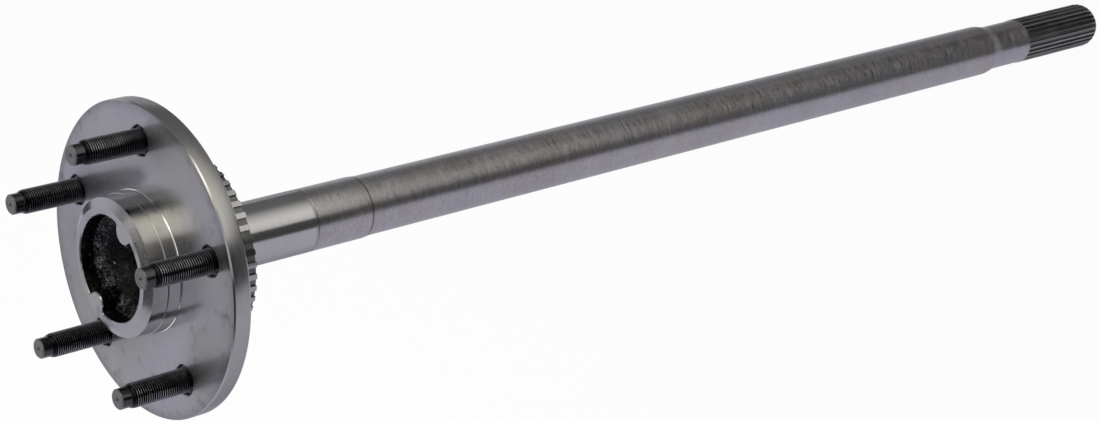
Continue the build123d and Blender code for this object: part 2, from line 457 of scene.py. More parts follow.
def forged_pocket(bm, rim_loop, flange, sizes):
    """Machined mouth edge, land, ribs, cone and floor of the pocket, from its mouth inwards."""
    def walled(start, depth, wall, extra=0.0):
        def outline(angle):
            return pocket_outline(angle, wall, sizes) + extra
        return drawn_on(bm, start, front + depth, outline)

    front = -flange.pilot_length
    edge = sizes.mouth_chamfer
    mouth = sizes.mouth_radius
    loop = walled(walled(rim_loop, 0.0, mouth, edge), edge, mouth)
    land_radius = mouth - sizes.land * tan(POCKET_DRAFT)
    cone_end = sizes.depth - 0.6 * POCKET_FILLET
    cone_radius = sizes.floor_radius + 0.4 * POCKET_FILLET
    smooth = set(bm.verts)
    for step in range(1, POCKET_STEPS + 1):
        depth = edge + (cone_end - edge) * step / POCKET_STEPS
        if depth < sizes.land:
            wall = mouth - depth * tan(POCKET_DRAFT)
        else:
            share = (depth - sizes.land) / (cone_end - sizes.land)
            wall = land_radius + (cone_radius - land_radius) * share
        loop = walled(loop, depth, wall)
    for share in (0.35, 0.7, 1.0):
        radius = cone_radius - POCKET_FILLET * sin(share * pi / 2.0)
        depth = cone_end + (sizes.depth - cone_end) * (1.0 - cos(share * pi / 2.0))
        loop = drawn_on(bm, loop, front + depth, radius)
    for step in range(1, FLOOR_STEPS):
        radius = (cone_radius - POCKET_FILLET) * (1.0 - step / FLOOR_STEPS)
        loop = drawn_on(bm, loop, front + sizes.depth + TOUCH * step, radius)
    closed_at(bm, loop, front + sizes.depth + 10.0 * TOUCH)
    bmesh.ops.recalc_face_normals(bm, faces=bm.faces)
    bm.normal_update()
    roughened([vert for vert in bm.verts if vert not in smooth], sizes.scale_height)


def tooth_shares(sizes):
    """Angles of the spline: one pitch, half a space at its root, and half a space at its tip."""
    middle = (sizes.tip_radius + sizes.root_radius) / 2.0
    flank = tan(radians(TOOTH_SLOPE + 90.0 / sizes.teeth))
    half_space = pi * middle / sizes.teeth / 2.0
    root_half = (half_space - (middle - sizes.root_radius) * flank) / sizes.root_radius
    tip_half = (half_space + (sizes.tip_radius - middle) * flank) / sizes.tip_radius
    return 2.0 * pi / sizes.teeth, root_half, tip_half


def spline_point(angle, sizes):
    """Moves a plain angle to the nearest place on a tooth's outline, and gives its radius there."""
    pitch, root_half, tip_half = tooth_shares(sizes)
    off = (angle - pi / 2.0 + pitch / 2.0) % pitch - pitch / 2.0
    centre = angle - off
    side = 1.0 if off >= 0.0 else -1.0
    share = abs(off) / (pitch / 2.0)
    if share <= 0.25:
        return centre + side * share / 0.25 * root_half, sizes.root_radius
    if share <= 0.75:
        reach = (share - 0.25) / 0.5
        radius = sizes.root_radius + (sizes.tip_radius - sizes.root_radius) * reach
        return centre + side * (root_half + (tip_half - root_half) * reach), radius
    reach = (share - 0.75) / 0.25
    return centre + side * (tip_half + (pitch / 2.0 - tip_half) * reach), sizes.tip_radius


def splined_end(bm, loop, sizes):
    """Spline teeth with their run-out, the rounded end and the centre hole."""
    def spot(vert):
        return round(vert.co.x, 7), round(vert.co.z, 7)

    def toothed(start, y, depth, most):
        verts, edges = extruded(bm, start)
        for vert in verts:
            plain = plain_angle[spot(vert)]
            angle, radius = spline_point(plain, sizes)
            radius = min(tip - (tip - radius) * depth, most)
            vert.co = (radius * sin(angle), y, radius * cos(angle))
            plain_angle[spot(vert)] = plain
        return edges

    plain_angle = {}
    for edge in loop:
        for vert in edge.verts:
            plain_angle[spot(vert)] = atan2(vert.co.x, vert.co.z)
    tip = sizes.tip_radius
    round_start = sizes.end - sizes.end_length
    loop = toothed(loop, sizes.start + TOUCH, 0.35, tip)
    loop = toothed(loop, sizes.start + sizes.run_out * 0.3, 0.75, tip)
    loop = toothed(loop, sizes.start + sizes.run_out, 1.0, tip)
    loop = toothed(loop, round_start, 1.0, tip)
    for step in range(1, END_STEPS + 1):
        share = step / END_STEPS
        most = tip - sizes.end_depth * (0.45 * share + 0.55 * share ** 2.4)
        loop = toothed(loop, round_start + sizes.end_length * share, 1.0, most)
    sink_depth = (sizes.centre_radius - sizes.centre_drill) / tan(radians(30.0))
    loop = drawn_along(bm, loop, [
        (sizes.end + HAIR, tip - sizes.end_depth - END_EDGE),
        (sizes.end + 2.0 * HAIR, sizes.centre_radius + END_EDGE),
        (sizes.end - END_EDGE, sizes.centre_radius),
        (sizes.end - END_EDGE - sink_depth, sizes.centre_drill),
        (sizes.end - CENTRE_DEPTH, sizes.centre_drill),
    ])
    closed_at(bm, loop, sizes.end - CENTRE_POINT)


def bar_profile(flange, bar, spline):
    """Profile of the boss and bar behind the flange."""
    root = [(flange.thickness + behind * MM, radius * MM) for behind, radius in BOSS_ROOT]
    boss = [
        (bar.ring_front, bar.boss_shoulder),
        (bar.ring_front, bar.ring_seat),
        (bar.boss_end - BOSS_CHAMFER, bar.ring_seat),
        (bar.boss_end, bar.ring_seat - BOSS_CHAMFER),
    ]
    journal = []
    for step in range(FILLET_STEPS + 1):
        turn = step / FILLET_STEPS * pi / 2.0
        journal.append((
            bar.boss_end + bar.journal_fillet * (1.0 - cos(turn)),
            bar.journal_radius + bar.journal_fillet * (1.0 - sin(turn)),
        ))
    groove_end = bar.journal_end + bar.groove_width
    bearing = [
        (bar.journal_end, bar.journal_radius),
        (bar.journal_end, bar.groove_radius),
        (groove_end, bar.groove_radius),
        (groove_end, bar.seat_radius),
        (bar.seat_end, bar.seat_radius),
        (bar.body_start, bar.body_radius),
        (bar.body_end, bar.body_radius),
    ]
    taper = []
    for step in range(1, TAPER_STEPS):
        share = step / TAPER_STEPS
        drop = share * share * (3.0 - 2.0 * share)
        taper.append((
            bar.body_end + (bar.neck_start - bar.body_end) * share,
            bar.body_radius + (bar.neck_radius - bar.body_radius) * drop,
        ))
    end = [
        (bar.neck_start, bar.neck_radius),
        (bar.neck_end, bar.neck_radius),
        (spline.start, spline.tip_radius),
    ]
    return eased(root + boss + journal + bearing + taper + end, flange.edge_break)


def finish_of(face, flange, bar, spline):
    """Which finish a face of the forging has, by its place."""
    centre = face.calc_center_median()
    radius = hypot(centre.x, centre.z)
    y = centre.y
    near = 0.01 * MM
    front = -flange.pilot_length
    step = -flange.rotor_pilot_length
    at_rim = radius > flange.radius - 1.0 * MM
    if front + 0.55 * MM < y < flange.thickness and radius < POCKET_REACH:
        return SCALE
    if y < front + flange.lead_in:
        return FACE
    if step - PILOT_STEP < y < step or -2.0 * PILOT_FOOT < y < -PILOT_FOOT:
        return RIM
    if y < -near:
        return PILOT
    if y < 0.05 * MM:
        return FACE
    if y < flange.rim_chamfer:
        return GROUND if at_rim else FACE
    back = flange.thickness
    if back - flange.rim_chamfer < y < back - near and radius > flange.hole_circle:
        return PILOT
    if y < back + near:
        return RIM if at_rim else FACE
    if y < bar.boss_end + 0.2 * MM:
        return RIM
    if y < bar.journal_end + near:
        return GROUND
    return BAR if y < spline.start else SPLINE


class AXLE_OT_forging(bpy.types.Operator):
    """Builds the shaft: pocket, pilot, flange, boss, bar and spline in one turned body"""

    bl_idname = "axle.forging"
    bl_label = "Build Shaft"

    def execute(self, context):
        settings = context.scene.axle
        flange = settings.flange
        bar = settings.bar
        front = -flange.pilot_length
        step = -flange.rotor_pilot_length
        bm = bmesh.new()
        pilot_end, pilot_foot = lathe(bm, [
            (front, flange.pilot_face_radius),
            (front + flange.lead_in, flange.wheel_pilot_radius),
            (step - PILOT_STEP, flange.wheel_pilot_radius),
            (step, flange.rotor_pilot_radius),
            (-2.0 * PILOT_FOOT, flange.rotor_pilot_radius),
            (-PILOT_FOOT, flange.rotor_pilot_radius + PILOT_FOOT),
            (0.0, flange.rotor_pilot_radius + 2.0 * PILOT_FOOT),
        ])
        chamfer = flange.rim_chamfer
        rim_front, rim_back = lathe(bm, [
            (0.0, flange.radius - chamfer),
            (chamfer, flange.radius),
            (flange.thickness - 1.5 * chamfer, flange.radius),
            (flange.thickness - 0.8 * chamfer, flange.radius - 0.2 * chamfer),
            (flange.thickness, flange.radius - chamfer),
        ])
        boss_root, bar_end = lathe(bm, bar_profile(flange, bar, settings.spline))
        centres = [stud_place(number, flange) for number in range(1, len(STUDS) + 1)]
        fronts, backs = zip(*(stud_hole(bm, centre, flange) for centre in centres))
        flat_between(bm, [pilot_foot, rim_front, *fronts], (0.0, -1.0, 0.0))
        flat_between(bm, [boss_root, rim_back, *backs], (0.0, 1.0, 0.0))
        splined_end(bm, bar_end, settings.spline)
        forged_pocket(bm, pilot_end, flange, settings.pocket)
        for face in bm.faces:
            face.material_index = finish_of(face, flange, bar, settings.spline)
        colours = settings.finishes
        tint = colours.edge_tint
        finishes = [
            faced_steel(colours),
            turned_steel("pilot_steel", colours.pilot, tint, 0.14, 5200.0, 0.06),
            turned_steel("ground_steel", colours.journal, tint, 0.18, 9000.0, 0.05),
            bar_steel(colours, bar.seat_end),
            scale_steel(colours),
            spline_steel(colours),
            turned_steel("rim_steel", colours.rim, tint, 0.27, 3600.0, 0.1),
        ]
        as_object(bm, "shaft_forging", finishes, SHAFT)
        return {"FINISHED"}


class AXLE_OT_ring(bpy.types.Operator):
    """Builds the toothed ring behind the flange"""

    bl_idname = "axle.ring"
    bl_label = "Build Toothed Ring"

    def execute(self, context):
        settings = context.scene.axle
        sizes = settings.ring
        bar = settings.bar
        half_space = sizes.space_width / 2.0 / sizes.tip_radius
        pitch = 2.0 * pi / sizes.teeth
        bottom = sizes.tip_radius - sizes.tooth_height
        top = sizes.tip_radius
        corners = [
            (-half_space, top), (-half_space, bottom), (0.0, bottom), (half_space, bottom),
            (half_space, top), (pitch * 0.35, top), (pitch * 0.5, top), (pitch * 0.65, top),
        ]
        bm = bmesh.new()
        circle = bmesh.ops.create_circle(bm, segments=sizes.teeth * len(corners), radius=top)
        for number, vert in enumerate(circle["verts"]):
            tooth, corner = divmod(number, len(corners))
            offset, radius = corners[corner]
            angle = tooth * pitch + offset + sizes.space_angle
            vert.co = (radius * sin(angle), bar.ring_front, radius * cos(angle))
        first = list(bm.edges)
        ring_back = bar.ring_front + sizes.width
        loop = first
        for y, inner in ((ring_back, False), (ring_back, True), (bar.ring_front, True)):
            verts, loop = extruded(bm, loop)
            for vert in verts:
                out = Vector((vert.co.x, 0.0, vert.co.z))
                vert.co = (out.normalized() * bar.ring_seat if inner else out) + AXIS * y
        bmesh.ops.bridge_loops(bm, edges=first + loop)
        bmesh.ops.recalc_face_normals(bm, faces=bm.faces)
        outside = bar.ring_seat + 1.0 * MM
        teeth = [
            edge for edge in bm.edges
            if edge.is_manifold and edge.calc_face_angle(0.0) > radians(50.0)
            and min(hypot(vert.co.x, vert.co.z) for vert in edge.verts) > outside
        ]
        bmesh.ops.bevel(
            bm, geom=teeth, affect="EDGES", offset=sizes.edge_break, segments=2, profile=0.5,
            material=-1, clamp_overlap=True,
        )
        for face in bm.faces:
            centre = face.calc_center_median()
            on_top = hypot(centre.x, centre.z) > top - 1.2 * sizes.edge_break
            face.material_index = 0 if on_top else 1
        colours = settings.finishes
        land = turned_steel(
            "ring_land", colours.ring_land, colours.edge_tint, 0.18, 3800.0, 0.12
        )
        finishes = [land, cut_steel(colours)]
        as_object(bm, "toothed_ring", finishes, RING)
        return {"FINISHED"}


def clamped(value):
    """A number held between 0 and 1."""
    return min(max(value, 0.0), 1.0)


def thread_body(bm, crest, sizes):
    """Thread from the flange back to the tip, cut square at both ends and tapered at its lead."""
    start = -sizes.reach + sizes.tip_length
    end = sizes.shank_sink
    pitch = sizes.thread_pitch
    top = sizes.thread_radius
    root = top - sizes.thread_depth
    turns = int((end - start) / pitch) + 3
    first = start - 1.5 * pitch
    points = [
        bm.verts.new((0.0, first + pitch * share, radius))
        for share, radius in ((0.0, top), (0.16, top), (0.5, root), (0.66, root), (1.0, top))
    ]
    edges = [bm.edges.new(pair) for pair in zip(points, points[1:])]
    bmesh.ops.spin(
        bm, geom=points + edges, cent=(0.0, 0.0, 0.0), axis=AXIS,
        dvec=AXIS * (pitch / THREAD_STEPS), angle=2.0 * pi * turns, steps=THREAD_STEPS * turns,
        use_merge=False, use_duplicate=False,
    )
    bmesh.ops.remove_doubles(bm, verts=bm.verts, dist=TOUCH)
    for y, normal in ((start, (0.0, -1.0, 0.0)), (end, (0.0, 1.0, 0.0))):
        bmesh.ops.bisect_plane(
            bm, geom=bm.verts[:] + bm.edges[:] + bm.faces[:], dist=HAIR,
            plane_co=(0.0, y, 0.0), plane_no=normal, clear_outer=True, clear_inner=False,
        )
    for vert in bm.verts:
        radius = hypot(vert.co.x, vert.co.z)
        rise = (vert.co.y - start) / sizes.lead_length
        lead = sizes.tip_radius + (top - sizes.tip_radius) * max(rise, 0.0) ** 0.6
        highest = min(lead, top)
        wanted = min(radius, highest)
        wanted += (top - wanted) * clamped((vert.co.y - (end - 0.5 * pitch)) / (0.5 * pitch))
        if abs(vert.co.y - start) < TOUCH:
            wanted = sizes.tip_radius
        vert.co.x *= wanted / radius
        vert.co.z *= wanted / radius
        depth = (highest - wanted) / sizes.thread_depth
        vert[crest] = clamped(1.0 - depth) * clamped(1.4 * rise - 0.4)
    return start, end


def stud_mesh(bm, sizes, flange):
    """One stud on the shaft's axis: marked tip, thread, flare, serrated shank and head.

    The layer "crest" is 1 on the thread's crests and 0 at its root.
    """
    crest = bm.verts.layers.float.new("crest")
    start, end = thread_body(bm, crest, sizes)

    def ring(y):
        return [edge for edge in bm.edges if edge.is_boundary
                and all(abs(vert.co.y - y) < TOUCH for vert in edge.verts)]

    def serrated(angle):
        wave = abs(((angle * sizes.serrations / (2.0 * pi)) % 1.0) * 2.0 - 1.0)
        return sizes.shank_radius - SERRATION_DEPTH * (1.0 - wave)

    front = -sizes.reach
    mark = sizes.mark_radius
    loop = drawn_along(bm, ring(start), [
        (front + sizes.tip_chamfer, sizes.tip_radius),
        (front, sizes.tip_radius - sizes.tip_chamfer),
        (front - HAIR, mark * 2.3),
        (front + 0.12 * MM, mark * 2.1),
        (front + 0.12 * MM + HAIR, mark * 1.25),
        (front + 0.02 * MM, mark),
        (front + 0.35 * MM, mark * 0.6),
    ])
    closed_at(bm, loop, front + 0.6 * MM)
    back = flange.thickness
    head_end = back + sizes.head_thickness
    loop = drawn_along(bm, ring(end), [
        (end + TOUCH, lambda angle: serrated(angle) - STUD_SHOULDER),
        (end + STUD_SHOULDER, serrated),
        (back + HAIR, serrated),
        (back + 2.0 * HAIR, sizes.head_radius - 0.3 * MM),
        (back + 0.3 * MM, sizes.head_radius),
        (head_end - 1.2 * MM, sizes.head_radius),
        (head_end - 0.45 * MM, sizes.head_radius - 0.35 * MM),
        (head_end, sizes.head_radius - 1.3 * MM),
        (head_end + HAIR, HEAD_INNER),
    ])
    closed_at(bm, loop, head_end)
    for vert in bm.verts:
        if vert.co.y < front + TOUCH:
            vert[crest] = 1.0
        elif vert.co.y < start + TOUCH:
            vert[crest] = 0.9
        elif vert.co.y > end - TOUCH:
            vert[crest] = 0.6


class AXLE_OT_studs(bpy.types.Operator):
    """Builds the five wheel studs with their threads"""

    bl_idname = "axle.studs"
    bl_label = "Build Wheel Studs"

    def execute(self, context):
        settings = context.scene.axle
        sizes = settings.stud
        finishes = [stud_steel(settings.finishes), stud_tip_steel(settings.finishes)]
        pattern = bmesh.new()
        stud_mesh(pattern, sizes, settings.flange)
        for face in pattern.faces:
            centre = face.calc_center_median()
            at_tip = centre.y < -sizes.reach + 0.4 * MM
            inside = hypot(centre.x, centre.z) < sizes.tip_radius - 0.2 * MM
            face.material_index = 1 if at_tip and inside else 0
        for number, node in enumerate(STUDS, start=1):
            bm = pattern.copy()
            own_turn = Matrix.Rotation(radians(67.0 * number), 4, AXIS)
            place = Matrix.Translation(stud_place(number, settings.flange)) @ own_turn
            bmesh.ops.transform(bm, matrix=place, verts=bm.verts)
            as_object(bm, f"threaded_stud_{number}", finishes, node)
        pattern.free()
        return {"FINISHED"}


# Finishes


class Graph:
    """Node tree of a finish, a light or the world, with short ways to add and feed its nodes."""

    def __init__(self, owner):
        owner.use_nodes = True
        self.owner = owner
        self.nodes = owner.node_tree.nodes
        self.links = owner.node_tree.links

    @cached_property
    def coords(self):
        """The object's own coordinates."""
        return self.add("ShaderNodeTexCoord").outputs["Object"]

    @cached_property
    def axes(self):
        """Outputs X, Y and Z of the object's own coordinates, with Y along the shaft."""
        return self.add("ShaderNodeSeparateXYZ", {0: self.coords}).outputs

    @cached_property
    def radius(self):
        """Distance from the shaft's axis."""
        flat = self.vector("MULTIPLY", self.coords, (1.0, 0.0, 1.0))
        return self.vector("LENGTH", flat, result="Value")

    def feed(self, socket, value):
        """Joins a socket to another node's, or gives it a number or a colour of its own."""
        if isinstance(value, bpy.types.NodeSocket):
            self.links.new(value, socket)
        elif socket.type == "RGBA":
            socket.default_value = (*value, 1.0)
        else:
            socket.default_value = value

    def add(self, kind, feeds=None, **settings):
        """Adds a node with its settings, and feeds its sockets by name or number."""
        node = self.nodes.new(kind)
        for key, setting in settings.items():
            setattr(node, key, setting)
        for key, value in (feeds or {}).items():
            self.feed(node.inputs[key], value)
        return node

    def maths(self, operation, first, second=0.0):
        """Works out one number from one or two others."""
        return self.add("ShaderNodeMath", {0: first, 1: second}, operation=operation).outputs[0]

    def times(self, first, second):
        """The product of two numbers."""
        return self.maths("MULTIPLY", first, second)

    def vector(self, operation, *values, result="Vector"):
        """Works out a direction or a length from others."""
        feeds = dict(enumerate(values))
        return self.add("ShaderNodeVectorMath", feeds, operation=operation).outputs[result]

    def line_noise(self, place, scale, detail=2.0):
        """Noise that changes along one measure only, such as the marks of a turning tool."""
        feeds = {"W": place, "Scale": scale, "Detail": detail}
        return self.add("ShaderNodeTexNoise", feeds, noise_dimensions="1D").outputs["Fac"]

    def noise(self, across, along=None, detail=4.0, roughness=0.6):
        """Noise on the object's coordinates, with scales across and along the shaft."""
        scales = (across, along or across, across)
        spread = self.add("ShaderNodeMapping", {"Vector": self.coords, "Scale": scales})
        feeds = {
            "Vector": spread.outputs[0], "Scale": 1.0, "Detail": detail, "Roughness": roughness
        }
        return self.add("ShaderNodeTexNoise", feeds).outputs["Fac"]

    def span(self, value, low, high, to_low, to_high):
        """Maps a range onto another."""
        feeds = dict(enumerate((value, low, high, to_low, to_high)))
        return self.add("ShaderNodeMapRange", feeds).outputs[0]

    def mixed(self, factor, first, second):
        """Mixes two colours."""
        feeds = {"Factor": factor, 6: first, 7: second}
        return self.add("ShaderNodeMix", feeds, data_type="RGBA").outputs[2]

    def scaled(self, colour, level):
        """A colour times a number."""
        feeds = {0: colour, "Scale": level}
        return self.add("ShaderNodeVectorMath", feeds, operation="SCALE").outputs[0]

    def shaded(self, colour, low, high, value):
        """A colour made darker and lighter by a pattern that runs from 0.25 to 0.75."""
        return self.scaled(colour, self.span(value, 0.25, 0.75, low, high))

    def bumped(self, height, distance, strength, normal=None):
        """Normal from a height, over another normal if there is one."""
        feeds = {"Strength": strength, "Distance": distance, "Height": height}
        if normal is not None:
            feeds["Normal"] = normal
        return self.add("ShaderNodeBump", feeds).outputs[0]

    def grooved(self, edge_tint, grooves):
        """Tints the metal's edges, and has grooves round the shaft spread light across them."""
        round_way = self.vector("CROSS_PRODUCT", tuple(AXIS), self.coords)
        normal = self.add("ShaderNodeNewGeometry").outputs["Normal"]
        across = self.vector("NORMALIZE", self.vector("CROSS_PRODUCT", normal, round_way))
        self.surface({"Specular Tint": edge_tint, "Anisotropic": grooves, "Tangent": across})

    def surface(self, feeds):
        """Feeds the shader of a surface."""
        for key, value in feeds.items():
            self.feed(self.nodes["Principled BSDF"].inputs[key], value)

    def metal(self, colour, roughness, normal, metallic=1.0):
        """Makes the surface a metal, and returns its finish."""
        self.surface({
            "Base Color": colour, "Metallic": metallic, "Roughness": roughness, "Normal": normal
        })
        return self.owner

    def glowing(self, colour, strength):
        """Makes the surface a light, and returns its finish."""
        glow = self.add("ShaderNodeEmission", {"Color": colour, "Strength": strength})
        self.feed(self.nodes["Material Output"].inputs["Surface"], glow.outputs[0])
        return self.owner

    def seen(self):
        """1 for rays from the camera and from reflections, 0 for the rest."""
        path = self.add("ShaderNodeLightPath").outputs
        either = self.maths("MAXIMUM", path["Is Camera Ray"], path["Is Glossy Ray"])
        return self.maths("MAXIMUM", either, path["Is Transmission Ray"])

    def parted(self, factor, first, second, output):
        """Sends the second shader to the rays that the factor picks, and the first to the rest."""
        feeds = {"Fac": factor, 1: first.outputs[0], 2: second.outputs[0]}
        mix = self.add("ShaderNodeMixShader", feeds)
        self.feed(self.nodes[output].inputs["Surface"], mix.outputs[0])
        return self.owner


def finish_graph(name):
    """Graph of a new finish."""
    return Graph(bpy.data.materials.new(name))


def faced_steel(colours):
    """Flange face: rings of the facing cut, an oily film, stains, painted shade on the outer band
    by the rim, and a mirror soft at the rim.
    """
    g = finish_graph("faced_steel")
    g.grooved(colours.bar_edge_tint, 0.6)
    rings = g.line_noise(g.radius, 1500.0, 3.0)
    broad = g.line_noise(g.radius, 180.0)
    oily = g.span(g.noise(17.0, detail=3.0, roughness=0.5), 0.46, 0.62, 0.0, 0.8)
    base = g.mixed(oily, colours.face, colours.face_oily)
    base = g.shaded(base, 0.93, 1.05, rings)
    base = g.shaded(base, 0.9, 1.06, g.noise(26.0))
    stains_and_rim_shade = g.span(g.noise(75.0, detail=5.0, roughness=0.65), 0.57, 0.72, 1.0, 0.6)
    # Painted shade: the outer band of the face near the rim is darkened.
    stains_and_rim_shade = g.times(stains_and_rim_shade, g.span(g.radius, 76.5 * MM, 81.0 * MM, 1.0, 0.72))
    handled = g.span(g.noise(190.0, roughness=0.7), 0.56, 0.65, 0.0, 0.3)
    handled = g.times(handled, g.span(g.radius, 69.0 * MM, 78.0 * MM, 0.0, 1.0))
    stains_and_rim_shade = g.times(stains_and_rim_shade, g.maths("SUBTRACT", 1.0, handled))
    towards_rim = g.span(g.radius, 46.0 * MM, 60.0 * MM, -0.03, 0.055)
    grain = g.maths("ADD", g.noise(5200.0, detail=0.0), towards_rim)
    rough = g.span(grain, 0.46, 0.5, 0.16, 0.46)
    rough = g.maths("ADD", rough, g.span(broad, 0.2, 0.8, -0.015, 0.015))
    return g.metal(g.scaled(base, stains_and_rim_shade), rough, g.bumped(rings, 0.004 * MM, 0.6))


def turned_steel(name, colour, edge_tint, roughness, scale, depth):
    """Finely turned or ground steel: thin lines round the shaft."""
    g = finish_graph(name)
    g.grooved(edge_tint, 0.5)
    place = g.maths("ADD", g.axes["Y"], g.radius)
    lines = g.line_noise(place, scale)
    base = g.shaded(colour, 1.0 - depth, 1.0 + depth * 0.6, lines)
    base = g.shaded(base, 0.95, 1.04, g.noise(60.0))
    broad = g.line_noise(place, scale / 12.0)
    rough = g.span(broad, 0.25, 0.75, roughness - 0.02, roughness + 0.03)
    return g.metal(base, rough, g.bumped(lines, 0.003 * MM, 0.5))


def bar_steel(colours, seat_end):
    """Coarsely turned bar: uneven rings, brown traces, and a painted shadow line just behind the
    seat, where it steps down to the body.
    """
    g = finish_graph("bar_steel")
    g.grooved(colours.bar_edge_tint, 0.7)
    along = g.axes["Y"]
    fine = g.line_noise(along, 1900.0, 3.0)
    rings = g.line_noise(along, 420.0, 3.0)
    comb = g.noise(70.0, 520.0, detail=2.0, roughness=0.5)
    streaks = g.noise(170.0, 1500.0, detail=2.0, roughness=0.5)
    brown = g.span(g.noise(30.0, 60.0, detail=5.0, roughness=0.65), 0.42, 0.68, 0.0, 0.55)
    base = g.mixed(brown, colours.bar, colours.bar_brown)
    base = g.shaded(base, 0.86, 1.1, streaks)
    base = g.shaded(base, 0.93, 1.05, comb)
    base = g.shaded(base, 0.84, 1.12, g.noise(520.0, 900.0, detail=2.0))
    base = g.shaded(base, 0.86, 1.08, g.noise(14.0, 22.0))
    # Painted shadow: a dark line just past the seat's end, at the step down to the body.
    from_shadow_line = g.maths("ABSOLUTE", g.maths("SUBTRACT", along, seat_end + 1.0 * MM))
    base = g.shaded(base, 0.4, 1.0, g.span(from_shadow_line, 0.3 * MM, 1.0 * MM, 0.25, 0.75))
    rough = g.span(streaks, 0.3, 0.7, 0.28, 0.4)
    rough = g.maths("ADD", rough, g.span(comb, 0.3, 0.7, -0.03, 0.04))
    normal = g.bumped(fine, 0.006 * MM, 0.8)
    normal = g.bumped(rings, 0.01 * MM, 0.7, normal)
    return g.metal(base, rough, g.bumped(streaks, 0.01 * MM, 0.8, normal))


def cut_steel(colours):
    """Spaces and sides of the ring's teeth, left dull and grainy by the cutter."""
    g = finish_graph("ring_space")
    g.grooved(colours.edge_tint, 0.0)
    grain = g.noise(700.0, 250.0, roughness=0.65)
    cloud = g.noise(90.0)
    base = g.shaded(g.shaded(colours.ring_space, 0.7, 1.25, grain), 0.8, 1.15, cloud)
    rough = g.span(cloud, 0.3, 0.7, 0.42, 0.55)
    return g.metal(base, rough, g.bumped(grain, 0.04 * MM, 0.7))


def spline_steel(colours):
    """Rolled teeth, with painted shade darkening their spaces, and lines along them."""
    g = finish_graph("spline_steel")
    g.grooved(colours.edge_tint, 0.0)
    lines = g.noise(900.0, 30.0, detail=3.0)
    cloud = g.noise(120.0, 90.0)
    # Painted shade: darker towards the bottom of the spaces.
    space_shade = g.span(g.radius, 13.6 * MM, 14.7 * MM, 0.6, 1.0)
    base = g.shaded(g.shaded(colours.spline, 0.82, 1.12, lines), 0.85, 1.1, cloud)
    rough = g.span(cloud, 0.3, 0.7, 0.3, 0.42)
    return g.metal(g.scaled(base, space_shade), rough, g.bumped(lines, 0.01 * MM, 0.7))


def scale_steel(colours):
    """Forge scale: black and grainy, with pale patches of thin scale shown only in a painted lit
    band behind the mouth, and painted shade on the land and deeper in.
    """
    g = finish_graph("forge_scale")
    grain = g.noise(900.0, roughness=0.7)
    patch = g.noise(150.0, detail=5.0, roughness=0.65)
    thin = g.maths("ADD", g.times(grain, 0.7), g.times(patch, 0.4))
    worn = g.span(thin, 0.54, 0.7, 0.0, 1.0)
    # Painted light and shade by depth: the land by the mouth is darkened as painted shadow, the
    # band behind it keeps the pale patches as painted light, and deeper in they fade as painted
    # shade.
    worn = g.times(worn, g.span(g.axes["Y"], -11.8 * MM, -10.2 * MM, 0.1, 1.0))
    worn = g.times(worn, g.span(g.axes["Y"], -8.5 * MM, -5.0 * MM, 1.0, 0.15))
    sparks = g.span(g.noise(420.0, roughness=0.7), 0.65, 0.69, 0.0, 1.0)
    base = g.mixed(worn, colours.scale, colours.scale_lit_band)
    base = g.mixed(sparks, base, (0.6, 0.6, 0.6))
    rough = g.span(patch, 0.35, 0.65, 0.25, 0.5)
    normal = g.bumped(patch, 1.2 * MM, 0.9)
    return g.metal(base, rough, g.bumped(grain, 0.3 * MM, 1.0, normal))


def stud_steel(colours):
    """Black finish with a dull sheen, worn bright in places along the thread's crests, and painted
    shade in the thread's roots.
    """
    g = finish_graph("stud_black")
    grain = g.noise(1500.0, detail=3.0)
    cloud = g.noise(160.0)
    crest = g.add("ShaderNodeAttribute", attribute_name="crest").outputs["Fac"]
    worn = g.times(g.span(crest, 0.94, 0.99, 0.0, 1.0), g.span(cloud, 0.4, 0.62, 0.5, 1.0))
    base = g.shaded(g.mixed(worn, colours.stud, colours.stud_crest), 0.8, 1.2, grain)
    # Painted shade: darker towards the thread's roots, and a little darker on the shank and head.
    base = g.scaled(base, g.span(crest, 0.0, 0.8, 0.12, 1.0))
    rough = g.span(cloud, 0.3, 0.7, 0.22, 0.3)
    return g.metal(base, rough, g.bumped(grain, 0.014 * MM, 0.6))


def stud_tip_steel(colours):
    """End face of a stud: paler, with sawn grain."""
    g = finish_graph("stud_tip")
    grain = g.noise(1100.0, roughness=0.65)
    base = g.shaded(colours.stud_tip, 0.5, 1.55, grain)
    rough = g.span(grain, 0.3, 0.7, 0.38, 0.5)
    return g.metal(base, rough, g.bumped(grain, 0.04 * MM, 0.6), metallic=0.5)


# Studio


def card(name, corner, width_way, height_way, finish):
    """Flat card between a corner and its two edges."""
    bm = bmesh.new()
    bmesh.ops.create_grid(bm, x_segments=1, y_segments=1, size=0.5)
    width_way = Vector(width_way)
    height_way = Vector(height_way)
    for vert in bm.verts:
        across = width_way * (vert.co.x + 0.5)
        vert.co = Vector(corner) + across + height_way * (vert.co.y + 0.5)
    piece = placed(bm, name, [finish])
    return piece


def facing_card(name, middle, width, finish):
    """Square card that faces the flange from where it stands."""
    middle = Vector(middle)
    across = middle.cross(Vector((0.0, 0.0, 1.0))).normalized() * width
    up = across.cross(middle).normalized() * width
    return card(name, middle - across / 2.0 - up / 2.0, across, up, finish)


def floor_paint(colour):
    """Pale floor that glows almost white to the camera, and keeps a faint shadow."""
    g = finish_graph("floor_paint")
    g.surface({"Base Color": colour, "Roughness": 0.9, "Specular IOR Level": 0.0})
    by_camera = g.add("ShaderNodeLightPath").outputs["Is Camera Ray"]
    glow = g.add("ShaderNodeEmission", {"Color": g.mixed(by_camera, colour, WHITE)})
    share = g.times(g.seen(), 0.92)
    return g.parted(share, g.nodes["Principled BSDF"], glow, "Material Output")


